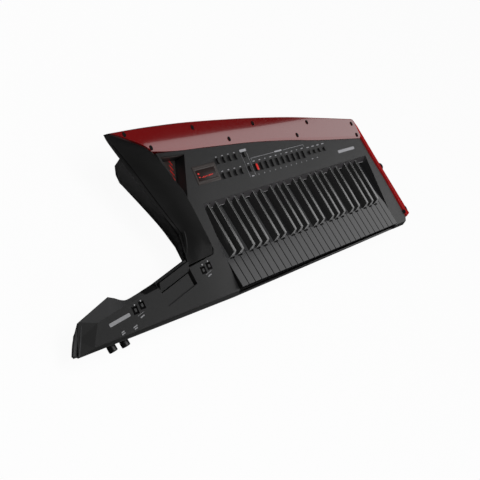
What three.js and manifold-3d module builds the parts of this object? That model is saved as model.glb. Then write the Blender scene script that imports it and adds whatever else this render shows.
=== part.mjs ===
// A keytar: a four-octave keyboard in a slung body with a neck, a swept wing and a coloured edge blade.
// Millimetres, +Z up. The keys lie along X and the player's side faces -Y. The origin is on the surface
// that the instrument lies on, under the middle of its bounding box.
import * as THREE from "three";
import { mergeVertices } from "three/addons/utils/BufferGeometryUtils.js";
import Module from "manifold-3d";

const wasm = await Module();
wasm.setup();

// Driving dimensions of the whole instrument
const octaveWidth = 164.5;
const octaves = 4;
const neckLength = 467;
const cheekReach = 103.5;
const frontReach = 9.5;
const keyReach = 143;
const panelReach = 138.5;
const keyTopHeight = 54;
const panelDrop = 6;
const panelTilt = THREE.MathUtils.degToRad(8.88);
const wall = 3;
const fitGap = 0.3;
const overrun = 5;
const curveSteps = 3;

// Keys
const noteNames = ["c", "d", "e", "f", "g", "a", "b"];
const sharpNames = ["c_sharp", "d_sharp", "f_sharp", "g_sharp", "a_sharp"];
const sharpCentreShares = [0.129, 0.3, 0.551, 0.714, 0.878];
const keyGap = 2;
const keyHeight = 16;
const keyEdge = 0.8;
const keyDraft = 1;
const keyDip = 10;
const sharpRise = 13.2;
const sharpTopWidth = 6.2;
const sharpFootWidth = 12.4;
const sharpFoot = 13;
const sharpStart = 51;
const sharpTail = 8;
const sharpTailHeight = 3;
const sharpClearance = 1.2;
const sharpStep = 1;
const sharpArchShares = [[0, 0.07], [0.04, 0.78], [0.05, 0.81], [1, 1]];
const pivotReach = 22;
const pivotDrop = 8;
const pivotRadius = 3;
const pivotSlack = 0.4;
const notchFlare = 1.6;
const tailReach = 9;
const tailHeight = 13;

// Keybed
const bedPlate = 1.5;
const bedClearance = 2;
const bedSetback = 6;
const bedRib = 3;
const railWall = 3;
const legSize = 10;
const legsAlong = 6;
const stopWidth = 6;
const stopHeight = 1.5;

// Case shells
const rimDrop = 9;
const endDip = 6;
const endDipShare = -0.935;
const waistRise = 24;
const footHeight = 3;
const footRadius = 8;
const openingGap = 2;
const fallRun = 7;
const fallClearance = 4.5;
const cheekDepth = 14;
const slotHeadroom = 0.8;

// Strap pins, jacks and battery door of the lower case
const pinShaftRadius = 4;
const pinHeadRadius = 8;
const pinHead = 3.5;
const pinReach = 20;
const pinDrop = 1.2;
const jackRadius = 3.5;
const jackPitch = 26;
const jackCount = 4;
const jackDrop = 40;
const doorWidth = 170;
const doorDepth = 84;
const doorGroove = 0.8;

// Edge blade and wing
const bladeSide = 0.2;
const bladeBevelRise = 2.4;
const bladeBevelRun = 4;
const bladeEdgeRun = 3;
const bladeEdgeFall = 3;
const bladeFall = 7;
const wingLip = 0.8;

// Display, window and buttons on the panel
const displayWidth = 79;
const displayDepth = 31;
const displayPocket = 1.2;
const windowDrop = 20;
const buttonPitch = 22.15;
const buttonRise = 3;
const webGap = 0.8;
const webThickness = 1.6;
const webMargin = 5;
const holeGap = 0.4;
const ovalWidth = 7.5;
const ovalDepth = 10;
const barWidth = 8;
const barDepth = 13;
const padWidth = 11;
const padDepth = 7.5;
const ovalColumns = 4;
const barCount = 10;
const padCount = 4;

// Neck controls
const wellWidth = 14;
const wellDepth = 11;
const wellPocket = 2;
const neckCapWidth = 10;
const neckCapDepth = 7.5;
const neckPitch = 21.3;
const neckRail = 5;
const neckRailSetback = 3;
const recessWidthShare = 0.2227;
const recessDepth = 37;
const recessDrop = 9.4;
const recessFloor = 2;
const recessTurn = THREE.MathUtils.degToRad(8.8);
const shelfDepth = 4.5;
const shelfDrop = 5;
const modBarDepth = 14;
const modBarThickness = 2.2;
const modBarSink = 1.6;
const stepWidthShare = 0.9135;
const stepDepth = 21;
const stepDrop = 1.4;
const modBarRise = 4;
const hingeRadius = 1.4;
const knobRadius = 6.3;
const knobSpacing = 35;
const knobLength = 10.5;
const knobDrop = 32;
const shaftRadius = 3;
const shaftReach = 9;
const shaftSlack = 0.4;

// Circuit board
const boardLength = 300;
const boardDepth = 44;
const boardThickness = 1.6;
const boardRise = 6;
const boardPost = 6;
const chipSize = 18;
const chipHeight = 3;

// Sizes that follow
const naturalPitch = octaveWidth / noteNames.length;
const naturalCount = octaves * noteNames.length + 1;
const keyboardWidth = naturalCount * naturalPitch;
const bodyLength = neckLength + keyboardWidth + cheekReach;
const bodyDepth = frontReach + keyReach + panelReach;
const pivotY = keyReach + pivotReach;
const pivotZ = -pivotDrop;
const recessWidth = neckLength * recessWidthShare;
const stepWidth = recessWidth * stepWidthShare;
const baseZ = footHeight - keyTopHeight;
const waistZ = baseZ + waistRise;
const floorZ = baseZ + wall;
const sharpSlot = sharpFootWidth + 2 * sharpClearance;

// Outlines: the first number of each point is its station along the body (-1 the neck's end, 0 the first
// key, 1 the last key's far side, 2 the right corner), the second its depth (-1 the front, 0 the keys'
// front edge, 1 the back of the key opening, 2 the back of the body).
const rimShares = [
  [-0.998, -0.126], [-0.03, -0.737], [1.517, -0.421], [1.942, 0.098], [1.488, 0.958], [1.179, 1.513],
  [0.924, 1.578], [0.701, 1.686], [0.311, 1.845], [0.038, 1.917], [-0.334, 1.773], [-0.349, 1.693],
  [-0.33, 1.556], [-0.24, 1.108], [-0.184, 0.783], [-0.253, 0.483], [-0.463, 0.399], [-0.636, 0.336],
  [-0.681, 0.343], [-0.715, 0.385], [-0.749, 0.42], [-0.942, 0.294], [-0.974, 0.14],
];
const waistShares = [
  [-1, 0.042], [-0.03, -0.526], [1.43, -0.105], [1.826, 0.126], [1.382, 0.958], [1.082, 1.469],
  [0.913, 1.513], [0.694, 1.614], [0.311, 1.773], [0.038, 1.845], [-0.223, 1.801], [-0.248, 1.693],
  [-0.24, 1.563], [-0.158, 1.079], [-0.12, 0.769], [-0.167, 0.49], [-0.445, 0.35], [-0.634, 0.294],
  [-0.681, 0.294], [-0.711, 0.322], [-0.743, 0.364], [-0.908, 0.273], [-0.944, 0.21],
];
const baseShares = [
  [-0.925, 0.042], [-0.03, 0.007], [1.227, 0.035], [1.585, 0.168], [1.179, 0.951], [0.98, 1.397],
  [0.886, 1.44], [0.678, 1.534], [0.311, 1.7], [0.038, 1.773], [-0.154, 1.744], [-0.163, 1.65],
  [-0.15, 1.57], [-0.086, 1.072], [-0.064, 0.755], [-0.064, 0.531], [-0.42, 0.266], [-0.621, 0.231],
  [-0.668, 0.238], [-0.696, 0.259], [-0.724, 0.294], [-0.846, 0.231], [-0.874, 0.189],
];
const coverTopShares = [
  [-0.948, 0.006], [-0.03, -0.211], [1.565, -0.105], [1.628, 0.042], [1.594, 0.147], [1.401, 0.643],
  [1.232, 0.951], [1.121, 1.245], [0.741, 1.368], [0.585, 1.455], [0.382, 1.542], [0.238, 1.585],
  [0.107, 1.621], [0.01, 1.643], [-0.167, 1.679], [-0.124, 1.31], [-0.094, 1.094], [-0.06, 0.503],
  [-0.075, 0.448], [-0.253, 0.406], [-0.3, 0.42], [-0.493, 0.315], [-0.64, 0.287], [-0.685, 0.28],
  [-0.732, 0.266], [-0.803, 0.238], [-0.812, 0.235], [-0.88, 0.211],
];
// The cover's skirt runs out to the rim along the front, the neck's end and the neck's back.
const coverSkirtShares = coverTopShares.slice();
coverSkirtShares[0] = rimShares[0];
coverSkirtShares[1] = rimShares[1];
coverSkirtShares[2] = [1.56, -0.47];
coverSkirtShares[20] = [-0.278, 0.455];
rimShares.slice(16).forEach((shares, i) => {
  coverSkirtShares[21 + i] = shares;
});

// First and last points of the outlines' curved stretches
const rimCurves = [[5, 9], [11, 14], [16, 20]];
const coverCurves = [[7, 13], [14, 17], [21, 25]];

// Stations of the edge blade from the wing to the front right corner: the inner edge, the outer edge and how
// far the outer edge falls. The stations up to the corner lie on a curve.
const bladeInnerShares = [
  [-0.229, 1.729], [-0.107, 1.679], [0.01, 1.647], [0.107, 1.625], [0.238, 1.589], [0.382, 1.546],
  [0.585, 1.459], [0.741, 1.373], [1.126, 1.251], [1.145, 1.2], [1.237, 0.951], [1.406, 0.643],
  [1.599, 0.147], [1.633, 0.042],
];
const bladeOuterShares = [
  [-0.4, 2], [-0.193, 1.994], [0.038, 1.968], [0.176, 1.931], [0.311, 1.888], [0.44, 1.841],
  [0.616, 1.765], [0.778, 1.679], [1.087, 1.545], [1.278, 1.449], [1.527, 0.958], [1.729, 0.58],
  [1.981, 0.14], [2, 0.084],
];
const bladeFallShares = [0, 0, 0, 0, 0, 0, 0, 0, 0, 0.6, 0.7, 0.8, 0.95, 0.9];
const bladeCurved = 9;

// Stations of the wing from its tip to its foot on the neck: the left and the right edge, and how far
// across the ridge lies. The stations before the foot lie on a curve.
const wingLeftShares = [
  [-0.43, 1.995], [-0.422, 1.903], [-0.385, 1.693], [-0.336, 1.404], [-0.283, 1.087], [-0.225, 0.769],
  [-0.259, 0.43],
];
const wingRightShares = [
  [-0.397, 2], [-0.3, 1.888], [-0.185, 1.696], [-0.127, 1.31], [-0.097, 1.094], [-0.069, 0.517],
  [-0.079, 0.455],
];
const wingCrown = 9;
const wingEdgeDrop = 3;
const wingSwell = 1.1;
const wingCurved = 6;
const wingRidgeShares = [0.6, 0.75, 0.86, 0.88, 0.88, 0.86, 0.7];
const wingCrownShares = [0, 0.2, 0.7, 1, 1, 0.9, 0.08];
const wingDepthShares = [0.25, 0.6, 1, 1, 1, 1, 1];
const wingUndercutShares = [0.5, 0.3, 0.16, 0.14, 0.12, 0.06, 0.2];

// The triangular window's corners, and places of the controls as stations like the outlines'
const windowShares = [[-0.09, 1.09], [0.0095, 1.6], [-0.15, 1.63]];
const displayShares = [0.0727, 1.321];
const buttonColumnShares = [0.15, 0.2935, 0.328, 0.6605];
const buttonRowShares = [1.242, 1.426];
const neckPairShares = [[-0.663, 0.193], [-0.181, 0.326]];
const recessShares = [-0.473, 0.108];
const knobShare = -0.782;
const footShares = [[-0.8, 0.13], [-0.45, 0.17], [0.04, 0.3], [0.97, 0.3], [0.86, 1.25], [0.02, 1.6]];
const rightPinShares = [1.55, 0.82];
const leftPinShares = [-0.1, 1.78];
const jackShare = 0.25;
const doorShares = [0.5, 0.95];
const boardShares = [0.36, 1.36];

function along(share) {
  if (share < 0) return share * neckLength;
  if (share <= 1) return share * keyboardWidth;
  return keyboardWidth + (share - 1) * cheekReach;
}

function deep(share) {
  if (share < 0) return share * frontReach;
  if (share <= 1) return share * keyReach;
  return keyReach + (share - 1) * panelReach;
}

function place([alongShare, deepShare]) {
  return [along(alongShare), deep(deepShare)];
}

// Height of the panel's plane at a depth, lowered by a drop
function panelZ(y, drop = 0) {
  return y * Math.tan(panelTilt) - panelDrop - drop;
}

function level(z) {
  return () => z;
}

function belowPanel(drop) {
  return ([, y]) => panelZ(y, drop);
}

// Height of the line where the two shells meet, lowered by a drop. It dips towards the neck's end.
function atParting(drop) {
  const start = along(endDipShare);
  return ([x, y]) => {
    const past = Math.max(0, (start - x) / (start + neckLength));
    return panelZ(y, rimDrop + endDip * past + drop);
  };
}

function ring(points, heightOf) {
  return points.map((point) => new THREE.Vector3(point[0], point[1], heightOf(point)));
}

// Points of a smooth curve through the given ones
function curveThrough(points) {
  const curve = new THREE.CatmullRomCurve3(points, false, "catmullrom");
  return curve.getPoints((points.length - 1) * curveSteps);
}

function smoothed(points, stretches) {
  const result = [];
  let next = 0;
  stretches.forEach(([first, last]) => {
    const stretch = points.slice(first, last + 1).map(([x, y]) => new THREE.Vector3(x, y, 0));
    result.push(...points.slice(next, first), ...curveThrough(stretch).map(({ x, y }) => [x, y]));
    next = last + 1;
  });
  return [...result, ...points.slice(next)];
}

// More rings between the given ones, so that each corner runs along a smooth curve
function smoothRings(rings) {
  const tracks = rings[0].map((corner, j) => curveThrough(rings.map((points) => points[j])));
  return tracks[0].map((point, i) => tracks.map((track) => track[i]));
}

// Moves each corner of a counterclockwise outline inwards, so that its sides move by the distance.
function inset(points, distance) {
  const count = points.length;
  return points.map(([x, y], i) => {
    const [beforeX, beforeY] = points[(i + count - 1) % count];
    const [afterX, afterY] = points[(i + 1) % count];
    const entering = new THREE.Vector2(beforeY - y, x - beforeX).normalize();
    const leaving = new THREE.Vector2(y - afterY, afterX - x).normalize();
    const miter = entering.clone().add(leaving).multiplyScalar(distance / (1 + entering.dot(leaving)));
    return [x + miter.x, y + miter.y];
  });
}

function ringNormal(points) {
  const normal = new THREE.Vector3();
  points.forEach((point, i) => {
    normal.add(new THREE.Vector3().crossVectors(point, points[(i + 1) % points.length]));
  });
  return normal;
}

// The faces of a cap over one ring, wound as the ring is.
function capFaces(points) {
  const normal = ringNormal(points);
  const size = normal.toArray().map(Math.abs);
  const dropped = size.indexOf(Math.max(...size));
  const flat = points.map((point) => {
    const kept = point.toArray().filter((value, axis) => axis !== dropped);
    return new THREE.Vector2(kept[0], kept[1]);
  });
  const faces = THREE.ShapeUtils.triangulateShape(flat, []);
  const faceArea = THREE.ShapeUtils.area(faces[0].map((i) => flat[i]));
  if (faceArea * THREE.ShapeUtils.area(flat) > 0) return faces;
  return faces.map(([a, b, c]) => [a, c, b]);
}

// A closed body through rings of equal counts, as a solid that can be joined and cut.
function loft(rings) {
  const count = rings[0].length;
  const positions = rings.flat().flatMap((point) => point.toArray());
  const faces = capFaces(rings[0]).map(([a, b, c]) => [a, c, b]);
  const last = (rings.length - 1) * count;
  capFaces(rings[rings.length - 1]).forEach((face) => faces.push(face.map((i) => i + last)));
  for (let k = 0; k < rings.length - 1; k += 1) {
    for (let i = 0; i < count; i += 1) {
      const low = k * count + i;
      const next = k * count + ((i + 1) % count);
      faces.push([low, next, next + count], [low, next + count, low + count]);
    }
  }
  const geometry = new THREE.BufferGeometry();
  geometry.setAttribute("position", new THREE.Float32BufferAttribute(positions, 3));
  geometry.setIndex(faces.flat());
  return solidOf(geometry);
}

function signedVolume(positions, indices) {
  const corner = (i) => new THREE.Vector3().fromArray(positions, indices[i] * 3);
  let volume = 0;
  for (let i = 0; i < indices.length; i += 3) {
    volume += corner(i).dot(corner(i + 1).cross(corner(i + 2)));
  }
  return volume;
}

function solidOf(geometry) {
  const plain = geometry.clone();
  plain.deleteAttribute("normal");
  plain.deleteAttribute("uv");
  const merged = mergeVertices(plain);
  const vertProperties = new Float32Array(merged.attributes.position.array);
  const triVerts = new Uint32Array(merged.index.array);
  if (signedVolume(vertProperties, triVerts) < 0) triVerts.reverse();
  return new wasm.Manifold(new wasm.Mesh({ numProp: 3, vertProperties, triVerts }));
}

function geometryOf(solid) {
  const mesh = solid.getMesh();
  const geometry = new THREE.BufferGeometry();
  geometry.setAttribute("position", new THREE.BufferAttribute(mesh.vertProperties, 3));
  geometry.setIndex(new THREE.BufferAttribute(mesh.triVerts, 1));
  geometry.computeVertexNormals();
  return geometry;
}

function prism(points, lowOf, highOf) {
  return loft([ring(points, lowOf), ring(points, highOf)]);
}

function acrossX(profile, x0, x1) {
  return loft([x0, x1].map((x) => profile.map(([y, z]) => new THREE.Vector3(x, y, z))));
}

function box(x0, x1, y0, y1, z0, z1, matrix = new THREE.Matrix4()) {
  const geometry = new THREE.BoxGeometry(x1 - x0, y1 - y0, z1 - z0);
  geometry.translate((x0 + x1) / 2, (y0 + y1) / 2, (z0 + z1) / 2);
  return solidOf(geometry.applyMatrix4(matrix));
}

// A round bar from one point along an axis ("x", "y" or "z").
function rod(radius, length, start, axis, sides = 16) {
  const geometry = new THREE.CylinderGeometry(radius, radius, Math.abs(length), sides);
  geometry.translate(0, length / 2, 0);
  if (axis === "x") geometry.rotateZ(-Math.PI / 2);
  if (axis === "z") geometry.rotateX(Math.PI / 2);
  geometry.translate(...start);
  return solidOf(geometry);
}

function rectangle(x0, x1, y0, y1) {
  return [[x0, y0], [x1, y0], [x1, y1], [x0, y1]];
}

function joined(solids) {
  return solids.reduce((whole, solid) => whole.add(solid));
}

function cut(whole, solids) {
  return solids.reduce((left, solid) => left.subtract(solid), whole);
}

// The panel's own frame: x along the body, y up the slope from the keys' front line, z out of the panel.
const onPanel = new THREE.Matrix4().makeRotationX(panelTilt).setPosition(0, 0, -panelDrop);

function upSlope(y) {
  return y / Math.cos(panelTilt);
}

const recessFrame = onPanel.clone()
  .multiply(new THREE.Matrix4().makeRotationZ(recessTurn)
    .setPosition(along(recessShares[0]), upSlope(deep(recessShares[1])), 0));

const plastic = { color: 0x2b2b2d, roughness: 0.55, metalness: 0 };
const materials = {
  case: new THREE.MeshStandardMaterial(plastic),
  wing: new THREE.MeshStandardMaterial({ color: 0x1c1c1e, roughness: 0.5, metalness: 0 }),
  blade: new THREE.MeshStandardMaterial({ color: 0xa0101a, roughness: 0.15, metalness: 0.1 }),
  natural: new THREE.MeshStandardMaterial({ color: 0x39393b, roughness: 0.25, metalness: 0 }),
  sharp: new THREE.MeshStandardMaterial({ color: 0x101011, roughness: 0.5, metalness: 0 }),
  frame: new THREE.MeshStandardMaterial({ color: 0x8f9296, roughness: 0.45, metalness: 0.8 }),
  rubber: new THREE.MeshStandardMaterial({ color: 0x18181a, roughness: 0.8, metalness: 0 }),
  board: new THREE.MeshStandardMaterial({ color: 0x1f5b35, roughness: 0.5, metalness: 0 }),
};

// Every sharp's centre along the keyboard
function sharpCentres() {
  const centres = [];
  for (let octave = 0; octave < octaves; octave += 1) {
    sharpCentreShares.forEach((share) => centres.push((octave + share) * octaveWidth));
  }
  return centres;
}

// The slot in a key's tail that rides on the keybed's round rail, from front to back
function pivotNotch(bottomZ) {
  const radius = pivotRadius + pivotSlack;
  const points = [[pivotY - radius - notchFlare, bottomZ]];
  const steps = 6;
  for (let i = 0; i <= steps; i += 1) {
    const angle = Math.PI * (1 - i / steps);
    points.push([pivotY + radius * Math.cos(angle), pivotZ + radius * Math.sin(angle)]);
  }
  points.push([pivotY + radius + notchFlare, bottomZ]);
  return points;
}

function naturalProfile() {
  const tailY = pivotY + tailReach;
  return [
    [keyDraft, -keyHeight],
    ...pivotNotch(-keyHeight),
    [tailY, -tailHeight],
    [tailY, 0],
    [keyEdge, 0],
    [0, -keyEdge],
  ];
}

// A natural in its own frame, with x from the left side of its pitch. Notches clear the sharps beside it.
function naturalKey(leftSharp, rightSharp) {
  const left = keyGap / 2;
  const right = naturalPitch - keyGap / 2;
  const leftNotch = leftSharp === null ? left : leftSharp + sharpSlot / 2;
  const rightNotch = rightSharp === null ? right : rightSharp - sharpSlot / 2;
  const notchY = sharpStart - sharpStep - sharpClearance;
  const backY = pivotY + tailReach + overrun;
  const outline = [[left, -overrun], [right, -overrun]];
  if (rightSharp !== null) outline.push([right, notchY], [rightNotch, notchY]);
  outline.push([rightNotch, backY], [leftNotch, backY]);
  if (leftSharp !== null) outline.push([leftNotch, notchY], [left, notchY]);
  const plan = prism(outline, level(-keyHeight - overrun), level(overrun));
  return plan.intersect(acrossX(naturalProfile(), 0, naturalPitch));
}

function sharpKey() {
  const backY = keyReach + sharpTail;
  const tailY = pivotY + tailReach;
  const profile = [
    [sharpStart - sharpStep, -sharpFoot],
    ...pivotNotch(-sharpFoot),
    [tailY, -sharpFoot],
    [tailY, sharpTailHeight],
    [backY + sharpStep, sharpTailHeight],
    ...sharpArchShares.map(([reach, rise]) => (
      [sharpStart + reach * (backY - sharpStart), rise * sharpRise]
    )).reverse(),
  ];
  const foot = sharpFootWidth / 2;
  const tent = sharpTent(0, 0, 0, tailY + overrun, -sharpFoot - overrun, sharpRise + overrun);
  return acrossX(profile, -foot, foot).intersect(tent);
}

// The tapered section that a sharp and its slot in the fallboard share, run from front to back
function sharpTent(centre, gap, front, back, low, high) {
  const foot = sharpFootWidth / 2 + gap;
  const top = sharpTopWidth / 2 + gap;
  const section = [[-foot, low], [foot, low], [foot, 0], [top, sharpRise], [top, high], [-top, high],
    [-top, sharpRise], [-foot, 0]];
  return loft([front, back].map((y) => section.map(([x, z]) => new THREE.Vector3(centre + x, y, z))));
}

// The metal keybed: a plate on legs, a stop rail at the front and the round pivot rail at the back
function keyBed() {
  const top = -keyHeight - keyDip - bedClearance;
  const back = pivotY + tailReach + bedRib;
  const pieces = [box(0, keyboardWidth, bedSetback, back, top - bedPlate, top)];
  const railFront = pivotY - railWall / 2;
  pieces.push(box(0, keyboardWidth, railFront, railFront + railWall, top - bedPlate / 2, pivotZ));
  pieces.push(rod(pivotRadius, keyboardWidth, [0, pivotY, pivotZ], "x"));
  const stopY = sharpStart / 2;
  pieces.push(box(0, keyboardWidth, stopY, stopY + stopWidth, top - bedPlate / 2, top + stopHeight));
  for (let i = 0; i < legsAlong; i += 1) {
    const x = legSize + (i * (keyboardWidth - 3 * legSize)) / (legsAlong - 1);
    [bedSetback + legSize, back - 2 * legSize].forEach((y) => {
      pieces.push(box(x, x + legSize, y, y + legSize, floorZ + fitGap, top - bedPlate / 2));
    });
  }
  return joined(pieces);
}

function strapPin(start, axis) {
  const head = start.slice();
  head["xyz".indexOf(axis)] += pinReach - pinHead;
  return rod(pinShaftRadius, pinReach, start, axis).add(rod(pinHeadRadius, pinHead, head, axis, 24));
}

function doorGrooves() {
  const [x, y] = place(doorShares);
  const left = x - doorWidth / 2;
  const front = y - doorDepth / 2;
  const outer = box(left, left + doorWidth, front, front + doorDepth, baseZ - overrun, baseZ + doorGroove);
  const inner = box(left + doorGroove, left + doorWidth - doorGroove, front + doorGroove,
    front + doorDepth - doorGroove, baseZ - 2 * overrun, baseZ + overrun);
  return outer.subtract(inner);
}

// The lower case: an open tub with its feet, strap pins, jack holes and the battery door's outline
function bottomCase() {
  const [rim, waist, base] = [rimShares, waistShares, baseShares].map((shares) => (
    smoothed(shares.map(place), rimCurves)
  ));
  const shell = loft([ring(base, level(baseZ)), ring(waist, level(waistZ)), ring(rim, atParting(0))]);
  const hollow = loft([
    ring(inset(base, wall), level(floorZ)),
    ring(inset(waist, wall), level(waistZ)),
    ring(inset(rim, wall), atParting(0)),
    ring(inset(rim, wall), belowPanel(-rimDrop)),
  ]);
  const feet = footShares.map(place).map(([x, y]) => (
    rod(footRadius, footHeight + wall / 2, [x, y, baseZ - footHeight], "z", 20)
  ));
  const [pinX, pinY] = place(rightPinShares);
  const [leftX, leftY] = place(leftPinShares);
  const pins = [
    strapPin([pinX - wall, pinY, -pinDrop], "x"),
    strapPin([leftX, leftY, -pinDrop], "y"),
  ];
  const tub = joined([shell.subtract(hollow), ...feet, ...pins]);
  const cuts = [doorGrooves()];
  for (let i = 0; i < jackCount; i += 1) {
    cuts.push(rod(jackRadius, panelReach, [along(jackShare) + i * jackPitch, deep(1), -jackDrop], "y"));
  }
  knobPlaces().forEach(([x, z]) => {
    cuts.push(rod(shaftRadius + shaftSlack, 4 * overrun, [x, -2 * overrun, z], "y"));
  });
  return cut(tub, cuts);
}

// Places of the panel's buttons: x, y up the slope, width, depth and whether the cap is round
function panelButtons() {
  const [columnX, soloX, barX, padX] = buttonColumnShares.map(along);
  const [front, back] = buttonRowShares.map(deep).map(upSlope);
  const places = [];
  [front, back].forEach((y) => {
    for (let i = 0; i < ovalColumns; i += 1) {
      places.push([columnX + i * buttonPitch, y, ovalWidth, ovalDepth, true]);
    }
    places.push([soloX, y, ovalWidth, ovalDepth, true]);
  });
  for (let i = 0; i < barCount; i += 1) places.push([barX + i * buttonPitch, front, barWidth, barDepth, false]);
  for (let i = 0; i < padCount; i += 1) places.push([padX + i * buttonPitch, front, padWidth, padDepth, true]);
  return places;
}

function neckButtons() {
  return neckPairShares.map(place).flatMap(([x, y]) => (
    [0, 1].map((i) => [x + i * neckPitch, upSlope(y + i * neckPitch * Math.tan(recessTurn))])
  ));
}

function knobPlaces() {
  const x = along(knobShare);
  return [[x, -knobDrop], [x + knobSpacing, -knobDrop]];
}

// One button's cap in the panel's frame, from the web up to its top
function cap([x, y, width, depth, round], low, high, margin, matrix) {
  const halfWidth = width / 2 + margin;
  const halfDepth = depth / 2 + margin;
  if (!round) return box(x - halfWidth, x + halfWidth, y - halfDepth, y + halfDepth, low, high, matrix);
  const geometry = new THREE.CylinderGeometry(1, 1, high - low, 16);
  geometry.rotateX(Math.PI / 2);
  geometry.scale(halfWidth, halfDepth, 1);
  geometry.translate(x, y, (low + high) / 2);
  return solidOf(geometry.applyMatrix4(matrix));
}

function fallboard() {
  const topY = keyReach;
  const footY = keyReach - fallRun;
  return acrossX([
    [footY, fallClearance],
    [footY + wall, fallClearance],
    [topY + wall, panelZ(topY + wall, wall)],
    [topY + wall, panelZ(topY + wall, 0)],
    [topY, panelZ(topY, 0)],
  ], -openingGap - wall, keyboardWidth + openingGap + wall);
}

function windowTub(clip) {
  const corners = windowShares.map(place);
  const block = prism(inset(corners, -wall), belowPanel(windowDrop + wall), belowPanel(0)).intersect(clip);
  return { block, hollow: prism(corners, belowPanel(windowDrop), belowPanel(-overrun)) };
}

function recessTub() {
  const low = -recessDrop - recessFloor;
  const block = box(-wall, recessWidth + wall, -wall, recessDepth - shelfDepth, low, -wall / 2, recessFrame)
    .add(box(-wall, recessWidth + wall, 0, recessDepth + wall, -rimDrop + fitGap, -wall / 2, recessFrame));
  const step = box(-overrun, stepWidth, -overrun, stepDepth, -recessDrop - overrun, -stepDrop, recessFrame);
  const underStep = box(0, stepWidth - wall, 0, stepDepth - wall, low - overrun, -stepDrop - wall, recessFrame);
  const hollow = box(0, recessWidth, 0, recessDepth - shelfDepth - wall, -recessDrop, overrun, recessFrame)
    .add(box(0, recessWidth, 0, recessDepth, -shelfDrop, overrun, recessFrame))
    .subtract(step)
    .add(underStep);
  return { block, hollow };
}

// The upper case: neck face, cheeks, control panel and fallboard in one shell
function topCase() {
  const [top, skirt] = [coverTopShares, coverSkirtShares].map((shares) => (
    smoothed(shares.map(place), coverCurves)
  ));
  const shell = loft([ring(skirt, atParting(-fitGap)), ring(top, belowPanel(0))]);
  const hollow = loft([
    ring(inset(skirt, wall), atParting(overrun)),
    ring(inset(skirt, wall), atParting(-fitGap)),
    ring(inset(top, wall), belowPanel(wall)),
  ]);
  const clip = prism(top, belowPanel(4 * rimDrop), belowPanel(0));
  const tub = windowTub(clip);
  const recess = recessTub();
  const openLeft = -openingGap;
  const openRight = keyboardWidth + openingGap;
  const cheeks = [[openLeft - wall, openLeft], [openRight, openRight + wall]].map(([x0, x1]) => (
    prism(rectangle(x0, x1, 0, keyReach + wall), level(-cheekDepth), belowPanel(wall / 2))
  ));
  const opening = box(openLeft, openRight, -2 * frontReach, keyReach - fallRun, -keyTopHeight, keyTopHeight);
  const behind = acrossX([[0, panelZ(0, -overrun)], [0, -keyTopHeight], [keyReach - fallRun, -keyTopHeight],
    [keyReach - fallRun, fallClearance], [keyReach, panelZ(keyReach)],
    [keyReach, panelZ(keyReach, -overrun)]], openLeft, openRight);
  const slots = sharpCentres().map((x) => (
    sharpTent(x, sharpClearance, sharpStart, keyReach + 2 * wall, -keyHeight, sharpRise + slotHeadroom)
  ));
  const [displayX, displayY] = place(displayShares);
  const slopeY = upSlope(displayY);
  const pocket = box(displayX - displayWidth / 2, displayX + displayWidth / 2, slopeY - displayDepth / 2,
    slopeY + displayDepth / 2, -displayPocket, overrun, onPanel);
  const holes = panelButtons().map((button) => cap(button, -2 * wall, overrun, holeGap, onPanel));
  const wells = neckButtons().map(([x, y]) => (
    cap([x, y, wellWidth, wellDepth, false], -wellPocket, overrun, 0, onPanel)
  ));
  const neckHoles = neckButtons().map(([x, y]) => (
    cap([x, y, neckCapWidth, neckCapDepth, false], -2 * wall, overrun, holeGap, onPanel)
  ));
  const whole = joined([shell.subtract(hollow), ...cheeks, tub.block, recess.block, fallboard()]);
  return cut(whole, [opening, behind, tub.hollow, recess.hollow, pocket, ...slots, ...holes, ...wells,
    ...neckHoles]);
}

function mix(from, to, share) {
  return [from[0] + (to[0] - from[0]) * share, from[1] + (to[1] - from[1]) * share];
}

function over(point, drop) {
  return new THREE.Vector3(point[0], point[1], panelZ(point[1], drop));
}

// The red blade around the back and the right side
function edgeBlade() {
  const underside = rimDrop - fitGap;
  const rings = bladeInnerShares.map((shares, i) => {
    const inner = place(shares);
    const outer = place(bladeOuterShares[i]);
    const span = Math.hypot(outer[0] - inner[0], outer[1] - inner[1]);
    const fall = bladeFall * bladeFallShares[i] - bladeBevelRise;
    return [
      over(inner, underside),
      over(inner, -bladeSide),
      over(mix(inner, outer, bladeBevelRun / span), -bladeBevelRise),
      over(mix(outer, inner, bladeEdgeRun / span), fall),
      over(outer, Math.min(fall + bladeEdgeFall, underside - bladeSide)),
      over(mix(outer, inner, wall / span), underside),
    ];
  });
  const wing = [...wingEdge(wingLeftShares), ...wingEdge(wingRightShares).reverse()];
  const keepOut = prism(inset(wing, -fitGap), belowPanel(2 * rimDrop), belowPanel(-2 * rimDrop));
  return loft([...smoothRings(rings.slice(0, bladeCurved)), ...rings.slice(bladeCurved)]).subtract(keepOut);
}

function wingEdge(shares) {
  return smoothed(shares.map(place), [[0, wingCurved - 1]]);
}

// The dark wing that sweeps from its tip behind the blade down to the neck
function wingCover() {
  const underside = rimDrop - fitGap;
  const rings = wingLeftShares.map((shares, i) => {
    const left = place(shares);
    const right = place(wingRightShares[i]);
    const crown = wingCrown * wingCrownShares[i];
    const across = (share) => mix(left, right, share * wingRidgeShares[i]);
    return [
      over(mix(left, right, wingUndercutShares[i]), underside * wingDepthShares[i]),
      over(left, wingEdgeDrop * wingCrownShares[i]),
      over(across(1 / 3), -(crown * wingSwell) / 3),
      over(across(2 / 3), -(crown * wingSwell * 2) / 3),
      over(across(1), -crown),
      over(right, -wingLip * wingCrownShares[i]),
      over(right, underside * wingDepthShares[i]),
    ];
  });
  return loft([...smoothRings(rings.slice(0, wingCurved)), ...rings.slice(wingCurved)]);
}

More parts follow.
